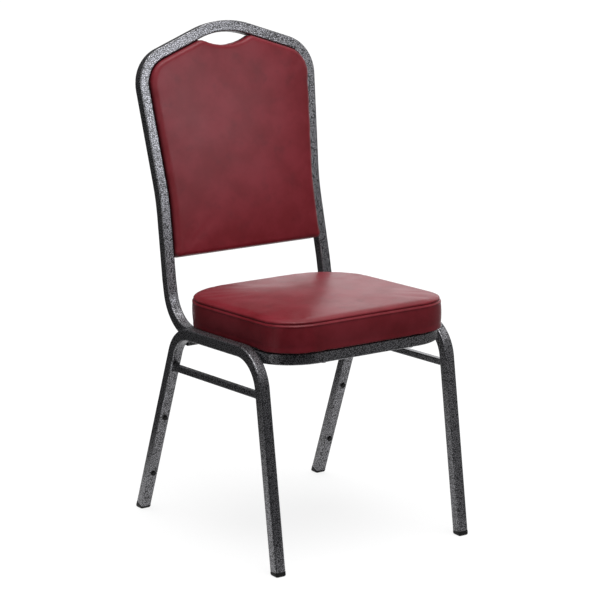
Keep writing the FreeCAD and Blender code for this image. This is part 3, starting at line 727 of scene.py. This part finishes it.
class CHAIR_OT_glides(Operator):
    """Make the foot glides, a cup under the end of each leg with a plug inside the tube"""

    bl_idname = "chair.glides"
    bl_label = "Foot glides"

    def execute(self, context):
        sizes = context.scene.chair_sizes
        plastic = moulded_plastic("glide_plastic", context.scene.chair_colours.moulded_black, 0.5)
        ends = (
            ("front", FRONT_FOOT, FRONT_RAKE, sizes.front_lip),
            ("rear", REAR_FOOT, REAR_RAKE, sizes.rear_lip),
        )
        for end, foot, rake, lip in ends:
            cup = self.cup(sizes, lip, rake)
            lean = Matrix.Identity(4)
            lean[1][1] = 1 / math.cos(rake)
            lean[1][2] = math.tan(rake)
            for side, x in (("left", -LEG_X), ("right", LEG_X)):
                glide = twin(cup, "%s_%s_foot" % (side, end))
                place = Matrix.Translation((x, foot, 0)) @ lean
                settle(glide, place, plastic, "glide", "%s_%s_glide" % (side, end), crease=40)
            discard(cup)
        return {"FINISHED"}

    def cup(self, sizes, lip, rake):
        """A rounded block with a plug, hollowed for the tube's end, with its rim square to the leg."""
        half = TUBE_HALF + sizes.glide_wall
        height = TUBE_END + lip
        dome = sizes.glide_round
        cup = primitive("cube", "glide_cup", size=1.0, location=(0, 0, (height + dome) / 2),
                        sides=(2 * half, 2 * half, height - dome))
        select_edges(cup, lambda a, b: abs(a.z - b.z) > (height - dome) / 2)
        bpy.ops.mesh.bevel(offset=TUBE_CORNER + sizes.glide_wall, segments=6)
        self.round_under(cup, half, dome)
        select_faces(cup, lambda middle, normal: normal.z > 0.99)
        bpy.ops.mesh.inset(thickness=sizes.glide_wall)
        push(0, 0, -lip)
        bpy.ops.mesh.inset(thickness=1.8 * MM)
        push(0, 0, sizes.glide_plug)
        leave_edit()
        low_side = math.copysign(half, rake)
        for point in cup.data.vertices:
            if abs(point.co.z - height) < 0.1 * MM:
                point.co.z += (low_side - point.co.y) * math.sin(rake)
        return cup

    def round_under(self, cup, half, dome):
        """Round a cup's edge down to its flat sole, ring by ring along a quarter circle."""
        select_faces(cup, lambda middle, normal: normal.z < -0.99)
        rings = 6
        reach, depth = half, 0.0
        for ring in range(1, rings + 1):
            angle = math.radians(90 * ring / rings)
            new_reach = half - dome * (1 - math.cos(angle))
            new_depth = dome * math.sin(angle)
            push(0, 0, depth - new_depth)
            bpy.ops.transform.resize(value=(new_reach / reach, new_reach / reach, 1.0))
            reach, depth = new_reach, new_depth


class CHAIR_OT_bumpers(Operator):
    """Make the stacking bumpers on the rear legs"""

    bl_idname = "chair.bumpers"
    bl_label = "Stacking bumpers"

    def execute(self, context):
        sizes = context.scene.chair_sizes
        rubber = moulded_plastic("bumper_rubber", context.scene.chair_colours.moulded_black, 0.38)
        button = self.button(sizes)
        for level, height in BUMPER_HEIGHTS.items():
            for side, x in (("left", -LEG_X), ("right", LEG_X)):
                lean = Matrix.Rotation(math.radians(90) - REAR_RAKE, 4, "X")
                axis = Vector((x, REAR_FOOT + height * math.tan(REAR_RAKE), height))
                face = axis + lean.to_3x3() @ Vector((0, 0, TUBE_HALF))
                place = Matrix.Translation(face) @ lean
                bumper = twin(button, "%s_%s_button" % (side, level))
                settle(bumper, place, rubber, "bumper", "%s_%s_bumper" % (side, level), crease=40)
        discard(button)
        return {"FINISHED"}

    def button(self, sizes):
        """A button with a rounded rim, a dimple and a stem behind it."""
        radius, height = sizes.bumper_radius, sizes.bumper_height
        button = primitive("cylinder", "button", vertices=40, radius=radius, depth=height,
                           location=(0, 0, height / 2))
        select_edges(button, lambda a, b: min(a.z, b.z) > height - 0.1 * MM)
        bpy.ops.mesh.bevel(offset=1.5 * MM, segments=4)
        select_faces(button, lambda middle, normal: normal.z > 0.99)
        bpy.ops.mesh.inset(thickness=1.3 * MM)
        bpy.ops.mesh.inset(thickness=0.7 * MM, depth=-0.6 * MM)
        bpy.ops.mesh.inset(thickness=0.6 * MM, depth=-0.15 * MM)
        select_faces(button, lambda middle, normal: normal.z < -0.99)
        bpy.ops.mesh.inset(thickness=radius - 2.5 * MM)
        push(0, 0, -5 * MM)
        leave_edit()
        return button


class CHAIR_OT_seat_cushion(Operator):
    """Make the seat cushion, with its filled cover and its seam"""

    bl_idname = "chair.seat_cushion"
    bl_label = "Seat cushion"

    def execute(self, context):
        sizes = context.scene.chair_sizes
        cushion = copy_of("seat_foam", "seat_cushion", SEAT_FRAME)
        cover = 0.8 * MM
        drop_face(cushion, SEAT_BOARD, cover - sizes.board_under, pockets=2 * MM)
        apply_modifier(cushion, "DISPLACE", strength=cover, mid_level=0.0)
        regrid(cushion, sizes.voxel)
        seam = sizes.seam_height
        self.round_boxing(cushion, seam, sizes)
        band = sizes.voxel * 0.55

        def held(place):
            return place.z < 2 * MM or abs(place.z - seam) < band

        def boxing(place):
            return place.z < seam

        def top(place):
            return place.z >= seam

        fill_out(cushion, sizes, held, ((top, sizes.seat_crown), (boxing, sizes.seat_bulge)))
        apply_modifier(cushion, "SMOOTH", factor=0.5, iterations=3)
        soften(cushion)
        self.tuck(cushion, sizes)
        self.fold_under(cushion, sizes)
        self.sew(cushion, seam, sizes)
        vinyl = shared_finish("burgundy_vinyl", grained_vinyl, context.scene.chair_colours)
        settle(cushion, SEAT_FRAME, vinyl, "vinyl", "seat_cover", "seat_foam")
        return {"FINISHED"}

    def round_boxing(self, cushion, seam, sizes):
        """Give the boxing a round belly between the board and the seam."""
        for point in cushion.data.vertices:
            share = (point.co.z + sizes.board_under) / (seam + sizes.board_under)
            if not 0.0 < share < 1.0:
                continue
            inside, out = seat_inside(point.co)
            if inside < 2 * sizes.voxel:
                point.co += out * sizes.seat_belly * 4 * share * (1 - share)

    def tuck(self, cushion, sizes):
        """Draw the lower edge of the cover out to a tight fold round the edge of the board."""
        radius = sizes.fold_radius
        base = min(point.co.z for point in cushion.data.vertices)
        for share in (0.15, 0.35, 0.6, 1.0):
            slice_level(cushion, base + share * radius)
        reach, rise = 4 * MM, 5 * MM
        for point in cushion.data.vertices:
            inside, out = seat_inside(point.co)
            near = share_of(2 - inside / reach)
            low = share_of(2 - (point.co.z - base) / rise)
            under = min(radius, max(0.0, base + radius - point.co.z))
            fold = radius - math.sqrt(radius ** 2 - under ** 2)
            point.co += out * max(0.0, inside - fold) * near * low

    def fold_under(self, cushion, sizes):
        """Let the folded rim of the cover hang a little under the board."""
        spacers = spacer_spots()
        pulled = 8 * MM
        for point in cushion.data.vertices:
            low = 1 - max(0.0, point.co.z) / pulled
            if low > 0:
                point.co.z -= rim_fall(point.co, sizes, spacers) * low

    def sew(self, cushion, seam, sizes):
        """Pull a groove in along the seam, under a rolled edge and over a turned, puckered one."""
        pitch = 0.8 * MM
        for step in range(-8, 7):
            slice_level(cushion, seam + step * pitch)
        normals = [point.normal.copy() for point in cushion.data.vertices]
        for point, normal in zip(cushion.data.vertices, normals):
            away = (point.co.z - seam) / MM
            if abs(away) > 10:
                continue
            pucker = 1 + 0.25 * noise.noise(Vector((point.co.x, point.co.y, 0)) / (5 * MM))
            groove = sizes.seam_depth * math.exp(-(away / 0.9) ** 2)
            roll = sizes.seam_roll * math.exp(-((away - 3.2) / 2.0) ** 2)
            lip = sizes.seam_lip * math.exp(-((away + 4.2) / 1.4) ** 2)
            point.co += normal * ((roll + lip) * pucker - groove)


class CHAIR_OT_seat_underside(Operator):
    """Cover the underside of the seat with a stapled dust cover"""

    bl_idname = "chair.seat_underside"
    bl_label = "Dust cover and staples"

    def execute(self, context):
        sizes = context.scene.chair_sizes
        colours = context.scene.chair_colours
        inset = sizes.dust_inset
        width = 2 * (SEAT_HALF - inset)
        length = SEAT_REAR - SEAT_FRONT - 2 * inset
        level = -sizes.board_under - 0.25 * MM
        spacers = spacer_spots()
        cover = primitive("grid", "dust_cover", x_subdivisions=96, y_subdivisions=96, size=1.0,
                          location=(0, SEAT_MIDDLE, level), sides=(width, length, 1.0))
        self.trim_corners(cover, inset)
        taut, wave = 60 * MM, 45 * MM
        for point in cover.data.vertices:
            slack = share_of((seat_inside(point.co)[0] - inset) / taut) * clear_of(point.co, spacers)
            ripple = noise.noise(point.co / wave)
            point.co.z -= rim_fall(point.co, sizes, spacers) + sizes.dust_sag * slack * (1 + 0.5 * ripple)
        apply_modifier(cover, "SOLIDIFY", thickness=0.35 * MM, offset=0.0)
        settle(cover, SEAT_FRAME, spun_cloth(colours), "dust_cloth", "seat_dust_cover")
        zinc = shared_finish("zinc_plate", zinc_plate, "zinc_plate", colours.zinc)
        staple = self.staple(sizes)
        row = []
        for place, out in seat_rim(inset + 6 * MM, 32 * MM):
            if clear_of(place, spacers) < 1:
                continue
            item = twin(staple, "staple")
            turn = Matrix.Rotation(math.atan2(out.x, -out.y), 4, "Z")
            under = Vector((0, 0, level - rim_fall(place, sizes, spacers) - 0.4 * MM))
            item.data.transform(Matrix.Translation(place + under) @ turn)
            row.append(item)
        discard(staple)
        settle(gather(row, "seat_staples"), SEAT_FRAME, zinc, "fixing", crease=40)
        return {"FINISHED"}

    def trim_corners(self, cover, inset):
        """Round the corners of the cloth with cuts along the outline's arcs."""
        take(cover)
        bpy.ops.object.mode_set(mode="EDIT")
        cuts = 10
        for end, edge, corner in ((-1, SEAT_FRONT, FRONT_CORNER), (1, SEAT_REAR, REAR_CORNER)):
            for side in (-1, 1):
                centre = Vector((side * (SEAT_HALF - corner), edge - end * corner, 0))
                for cut in range(1, cuts):
                    angle = math.radians(90 * cut / cuts)
                    way = Vector((side * math.cos(angle), end * math.sin(angle), 0))
                    edge_point = centre + way * (corner - inset)
                    bpy.ops.mesh.select_all(action="SELECT")
                    bpy.ops.mesh.bisect(plane_co=edge_point, plane_no=way, clear_outer=True)
        bpy.ops.object.mode_set(mode="OBJECT")

    def staple(self, sizes):
        """The flat crown of a staple with its two shoulders bent into the board."""
        wire = 0.8 * MM
        staple = primitive("cube", "staple_crown", size=1.0, sides=(sizes.staple, wire, 0.5 * MM))
        select_faces(staple, lambda middle, normal: abs(normal.x) > 0.9)
        bpy.ops.mesh.extrude_region_move()
        bpy.ops.transform.resize(value=(1 + wire / sizes.staple, 1, 1))
        bpy.ops.transform.translate(value=(0, 0, 0.4 * MM))
        select_edges(staple, lambda a, b: abs(a.x - b.x) > wire)
        bpy.ops.mesh.bevel(offset=0.12 * MM, segments=2)
        leave_edit()
        return staple


class CHAIR_OT_seat_bolts(Operator):
    """Make the button head bolts that hold the seat on its rails"""

    bl_idname = "chair.seat_bolts"
    bl_label = "Seat bolts"

    def execute(self, context):
        boxes = islands("seat_bolts", SEAT_FRAME)
        bolt = self.bolt(boxes[0][1].z - boxes[0][0].z)
        bolts = []
        for low, high in boxes:
            item = twin(bolt, "bolt")
            item.data.transform(Matrix.Translation(((low.x + high.x) / 2, (low.y + high.y) / 2, low.z)))
            bolts.append(item)
        discard(bolt)
        # The bolts get the near-black plating, not the zinc of the other fixings, so that they show no
        # bright reflection of the floor under the seat
        black = zinc_plate("dark_bolt_plating", context.scene.chair_colours.dark_bolt_plating)
        settle(gather(bolts, "seat_button_bolts"), SEAT_FRAME, black, "fixing", "seat_bolts", crease=30)
        return {"FINISHED"}

    def bolt(self, length):
        """A bolt with its domed head down, a hexagon socket in it and its shank above."""
        seat, dome = 3.5 * MM, 2.2 * MM
        head_radius, shank_radius = 5.5 * MM, 3.0 * MM
        point = 0.7 * MM
        head = primitive("cylinder", "bolt_head", vertices=48, radius=head_radius, depth=dome,
                         location=(0, 0, seat - dome / 2))
        select_edges(head, lambda a, b: max(a.z, b.z) < seat - dome + 0.1 * MM)
        bpy.ops.mesh.bevel(offset=1.7 * MM, segments=5)
        select_faces(head, lambda middle, normal: normal.z > 0.99)
        bpy.ops.mesh.inset(thickness=head_radius - shank_radius)
        push(0, 0, length - seat - point)
        push(0, 0, point)
        bpy.ops.transform.resize(value=(0.75, 0.75, 1.0))
        leave_edit()
        key = primitive("cylinder", "key", vertices=6, radius=2.1 * MM, depth=dome,
                        location=(0, 0, seat - dome))
        apply_modifier(head, "BOOLEAN", operation="DIFFERENCE", object=key)
        discard(key)
        return head


class CHAIR_OT_back_cushion(Operator):
    """Make the padded front of the back panel"""

    bl_idname = "chair.back_cushion"
    bl_label = "Back cushion"

    def execute(self, context):
        sizes = context.scene.chair_sizes
        cushion = copy_of("back_foam", "back_cushion", HOOP_FRAME)
        drop_face(cushion, BACK_BOARD_FRONT, BACK_BOARD_REAR)
        apply_modifier(cushion, "DISPLACE", strength=0.9 * MM, mid_level=0.0)
        regrid(cushion, 4 * MM)

        def held(place):
            return place.z < 6 * MM

        fill_out(cushion, sizes, held, ((lambda place: True, sizes.back_crown),))
        self.swell(cushion, sizes)
        soften(cushion)
        vinyl = shared_finish("burgundy_vinyl", grained_vinyl, context.scene.chair_colours)
        settle(cushion, HOOP_FRAME, vinyl, "vinyl", "back_cover", "back_foam")
        return {"FINISHED"}

    def swell(self, cushion, sizes):
        """Let the filled edge stand out a little over the front of the hoop at the sides."""
        blend = 4 * MM
        normals = [point.normal.copy() for point in cushion.data.vertices]
        for point, normal in zip(cushion.data.vertices, normals):
            share = share_of((point.co.z - TUBE_HALF) / blend + 0.5)
            point.co += Vector((normal.x, 0, normal.z)) * sizes.back_swell * share


class CHAIR_OT_back_rear(Operator):
    """Make the thinly padded cover on the rear of the back panel"""

    bl_idname = "chair.back_rear"
    bl_label = "Rear of the back"

    def execute(self, context):
        sizes = context.scene.chair_sizes
        cover = copy_of("back_board", "back_rear_pad", HOOP_FRAME)
        cloth = 0.8 * MM
        drop_face(cover, BACK_BOARD_REAR, BACK_BOARD_REAR - 0.6 * MM)
        select_points(cover, lambda place: place.z > 0)
        bpy.ops.transform.translate(value=(0, 0, -4.2 * MM))
        apply_modifier(cover, "DISPLACE", strength=cloth, mid_level=0.0)
        regrid(cover, 3 * MM)

        def held(place):
            return place.z > -4 * MM or abs(place.x) > 128 * MM

        fill_out(cover, sizes, held, ((lambda place: True, sizes.rear_crown),))
        apply_modifier(cover, "SMOOTH", factor=0.5, iterations=2)
        self.wrap(cover, sizes)
        vinyl = shared_finish("burgundy_vinyl", grained_vinyl, context.scene.chair_colours)
        settle(cover, HOOP_FRAME, vinyl, "vinyl", "back_rear_cover")
        return {"FINISHED"}

    def wrap(self, cover, sizes):
        """Draw the cover's edge out round the edge of the board."""
        normals = [point.normal.copy() for point in cover.data.vertices]
        for point, normal in zip(cover.data.vertices, normals):
            point.co += Vector((normal.x, normal.y, 0)) * sizes.rear_wrap


class CHAIR_OT_back_screws(Operator):
    """Make the cross recessed screws that hold the back panel on its tabs"""

    bl_idname = "chair.back_screws"
    bl_label = "Back screws"

    def execute(self, context):
        boxes = islands("back_screws", HOOP_FRAME)
        screw = self.screw(boxes[0][1].z - boxes[0][0].z)
        screws = []
        for number, (low, high) in enumerate(boxes):
            item = twin(screw, "screw")
            turn = Matrix.Rotation(math.radians(25 * number), 4, "Z")
            middle = Vector(((low.x + high.x) / 2, (low.y + high.y) / 2, low.z))
            item.data.transform(Matrix.Translation(middle) @ turn)
            screws.append(item)
        discard(screw)
        zinc = shared_finish("zinc_plate", zinc_plate, "zinc_plate", context.scene.chair_colours.zinc)
        settle(gather(screws, "back_pan_screws"), HOOP_FRAME, zinc, "fixing", "back_screws", crease=35)
        return {"FINISHED"}

    def screw(self, length):
        """A screw with its domed head to the rear and a cross recess in it."""
        dome, point = 2.2 * MM, 2 * MM
        head = primitive("cylinder", "screw_head", vertices=40, radius=4 * MM, depth=dome,
                         location=(0, 0, dome / 2))
        select_edges(head, lambda a, b: max(a.z, b.z) < 0.1 * MM)
        bpy.ops.mesh.bevel(offset=1.5 * MM, segments=5)
        select_faces(head, lambda middle, normal: normal.z > 0.99)
        bpy.ops.mesh.inset(thickness=2.2 * MM)
        push(0, 0, length - dome - point)
        push(0, 0, point)
        bpy.ops.transform.resize(value=(0.3, 0.3, 1.0))
        for sides in ((4.4, 0.9, 2.6), (0.9, 4.4, 2.6)):
            blade = primitive("cube", "blade", size=1.0, sides=[side * MM for side in sides])
            select_faces(blade, lambda middle, normal: normal.z > 0.9)
            bpy.ops.transform.resize(value=(0.7, 0.7, 1.0))
            leave_edit()
            apply_modifier(head, "BOOLEAN", operation="DIFFERENCE", object=blade)
            discard(blade)
        return head


class CHAIR_OT_stage(Operator):
    """Set the floor, the lights, the world and the camera"""

    bl_idname = "chair.stage"
    bl_label = "Studio stage"

    def execute(self, context):
        stage = context.scene.chair_stage
        context.scene.view_settings.view_transform = "Standard"
        self.floor(stage)
        self.world(context.scene, stage)
        self.soft_box("key_light", (-20, 26), 3.2, (1.6, 1.6), stage.key_power)
        self.soft_box("back_light", (158, 19), 3.2, (3.8, 1.4), stage.back_power)
        corner = self.soft_box("corner_light", (27.5, 36.5), 0.87, (0.4, 0.4), stage.corner_power)
        self.narrow(corner, Vector((-0.13, 0.22, 0.8)), 60)
        self.top_light("top_light", (0, 80), stage.top_strength)
        self.card("left_card", -146, (0.62, 0.0), (2.2, 1.5), 0.07)
        self.card("front_card", 34, (0.44, 0.0), (3.0, 0.5), 0.28)
        self.card("wing_card", -15, (0.45, -0.29), (0.7, 0.6), 0.05)
        self.card("tall_card", 34, (1.0, 0.0), (3.0, 0.92), 0.3)
        self.camera(context.scene, stage)
        return {"FINISHED"}

    def seen(self, tree):
        """1 for what the camera sees straight, in a reflection or through glass, else 0."""
        path = tree.nodes.new("ShaderNodeLightPath").outputs
        mirrored = combine(tree, "MAXIMUM", path["Is Glossy Ray"], path["Is Transmission Ray"])
        return combine(tree, "MAXIMUM", path["Is Camera Ray"], mirrored)

    def floor(self, stage):
        """A wide pale floor that shows white and keeps the chair's shadow."""
        floor = primitive("plane", "studio_floor", size=80.0)
        material, tree, shader, place = new_finish("pale_floor")
        shader.inputs["Base Color"].default_value = rgba([stage.floor_grey] * 3)
        shader.inputs["Roughness"].default_value = 0.9
        shader.inputs["Specular IOR Level"].default_value = 0.0
        shader.inputs["Emission Color"].default_value = (1.0, 1.0, 1.0, 1.0)
        tree.links.new(combine(tree, "MULTIPLY", self.seen(tree), stage.floor_white),
                       shader.inputs["Emission Strength"])
        floor.data.materials.append(material)

    def world(self, scene, stage):
        """Plain light from all round, and a white background."""
        world = bpy.data.worlds.new("studio")
        world.use_nodes = True
        scene.world = world
        tree = world.node_tree
        strength = ramp(tree, self.seen(tree), 0.0, 1.0, stage.ambient, 1.0)
        tree.links.new(strength, tree.nodes["Background"].inputs["Strength"])
        tree.nodes["Background"].inputs["Color"].default_value = (1.0, 1.0, 1.0, 1.0)

    def way_to(self, angles):
        """The way from the chair to a light at a turn and a rise, in degrees."""
        turn, rise = (math.radians(value) for value in angles)
        return Vector((math.sin(turn) * math.cos(rise), -math.cos(turn) * math.cos(rise), math.sin(rise)))

    def lamp(self, kind, name, away, location):
        """A light that shines along a way and stays out of the picture."""
        leave_edit()
        bpy.ops.object.light_add(type=kind, location=location)
        light = bpy.context.object
        light.name = name
        light.rotation_euler = (-away).to_track_quat("-Z", "Y").to_euler()
        light.visible_camera = False
        return light

    def soft_box(self, name, angles, distance, size, power):
        """A rectangular light that faces the chair."""
        away = self.way_to(angles)
        box = self.lamp("AREA", name, away, Vector((0, 0, 0.5)) + away * distance)
        box.data.shape = "RECTANGLE"
        box.data.size, box.data.size_y = size
        box.data.energy = power
        box.data.color = (0.92, 0.95, 1.0)
        return box

    def narrow(self, box, target, spread):
        """Aim a soft box at a point and gather its beam, as a grid in front of it does."""
        away = (box.location - target).normalized()
        box.rotation_euler = (-away).to_track_quat("-Z", "Y").to_euler()
        box.data.spread = math.radians(spread)

    def top_light(self, name, angles, strength):
        """A wide soft light from above that falls evenly on the floor."""
        away = self.way_to(angles)
        light = self.lamp("SUN", name, away, away * 4)
        light.data.energy = strength
        light.data.angle = math.radians(50)

    def card(self, name, turn, place, size, tone):
        """A grey card on the floor, out of the picture, that only shows in reflections, in an even tone."""
        angle = math.radians(turn)
        distance, aside = place
        width, height = size
        away = Vector((math.sin(angle), -math.cos(angle), 0.0))
        along = Vector((math.cos(angle), math.sin(angle), 0.0))
        middle = away * distance + along * aside + Vector((0, 0, height / 2))
        card = primitive("plane", name, size=1.0, location=middle, rotation=(math.radians(90), 0.0, angle),
                         sides=(width, height, 1.0))
        for ray in ("camera", "diffuse", "transmission", "shadow", "volume_scatter"):
            setattr(card, "visible_" + ray, False)
        material, tree, shader, spot = new_finish(name + "_tone")
        shader.inputs["Base Color"].default_value = (0.0, 0.0, 0.0, 1.0)
        shader.inputs["Specular IOR Level"].default_value = 0.0
        shader.inputs["Emission Color"].default_value = (1.0, 1.0, 1.0, 1.0)
        shader.inputs["Emission Strength"].default_value = tone
        card.data.materials.append(material)

    def camera(self, scene, stage):
        """A long lens at the angle of the photograph."""
        back = Vector((
            math.sin(stage.azimuth) * math.cos(stage.elevation),
            -math.cos(stage.azimuth) * math.cos(stage.elevation),
            math.sin(stage.elevation),
        ))
        leave_edit()
        bpy.ops.object.camera_add(location=Vector(stage.target) + back * stage.distance)
        camera = bpy.context.object
        camera.name = "photo_camera"
        camera.rotation_euler = (-back).to_track_quat("-Z", "Y").to_euler()
        camera.data.lens = stage.lens
        camera.data.sensor_width = 36.0
        camera.data.shift_x = stage.shift
        camera.data.clip_end = 200.0
        scene.camera = camera


STEPS = (
    CHAIR_OT_kept_finishes,
    CHAIR_OT_glides,
    CHAIR_OT_bumpers,
    CHAIR_OT_seat_cushion,
    CHAIR_OT_seat_underside,
    CHAIR_OT_seat_bolts,
    CHAIR_OT_back_cushion,
    CHAIR_OT_back_rear,
    CHAIR_OT_back_screws,
    CHAIR_OT_stage,
)


class CHAIR_PT_steps(Panel):
    """The steps that dress the chair"""

    bl_idname = "CHAIR_PT_steps"
    bl_label = "Stacking chair"
    bl_space_type = "VIEW_3D"
    bl_region_type = "UI"
    bl_category = "Chair"

    def draw(self, context):
        for step in STEPS:
            self.layout.operator(step.bl_idname)


GROUPS = {"chair_sizes": ChairSizes, "chair_colours": ChairColours, "chair_stage": ChairStage}


def register():
    """Register every class and hang the settings on the scene."""
    for kind in (*GROUPS.values(), *STEPS, CHAIR_PT_steps):
        bpy.utils.register_class(kind)
    for name, group in GROUPS.items():
        setattr(bpy.types.Scene, name, PointerProperty(type=group))


def unregister():
    """Take the settings off the scene and every class out again."""
    for name in GROUPS:
        delattr(bpy.types.Scene, name)
    for kind in (CHAIR_PT_steps, *reversed(STEPS), *reversed(GROUPS.values())):
        bpy.utils.unregister_class(kind)


def main():
    """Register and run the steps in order."""
    register()
    for step in STEPS:
        group, name = step.bl_idname.split(".")
        getattr(getattr(bpy.ops, group), name)()


if __name__ == "__main__":
    main()
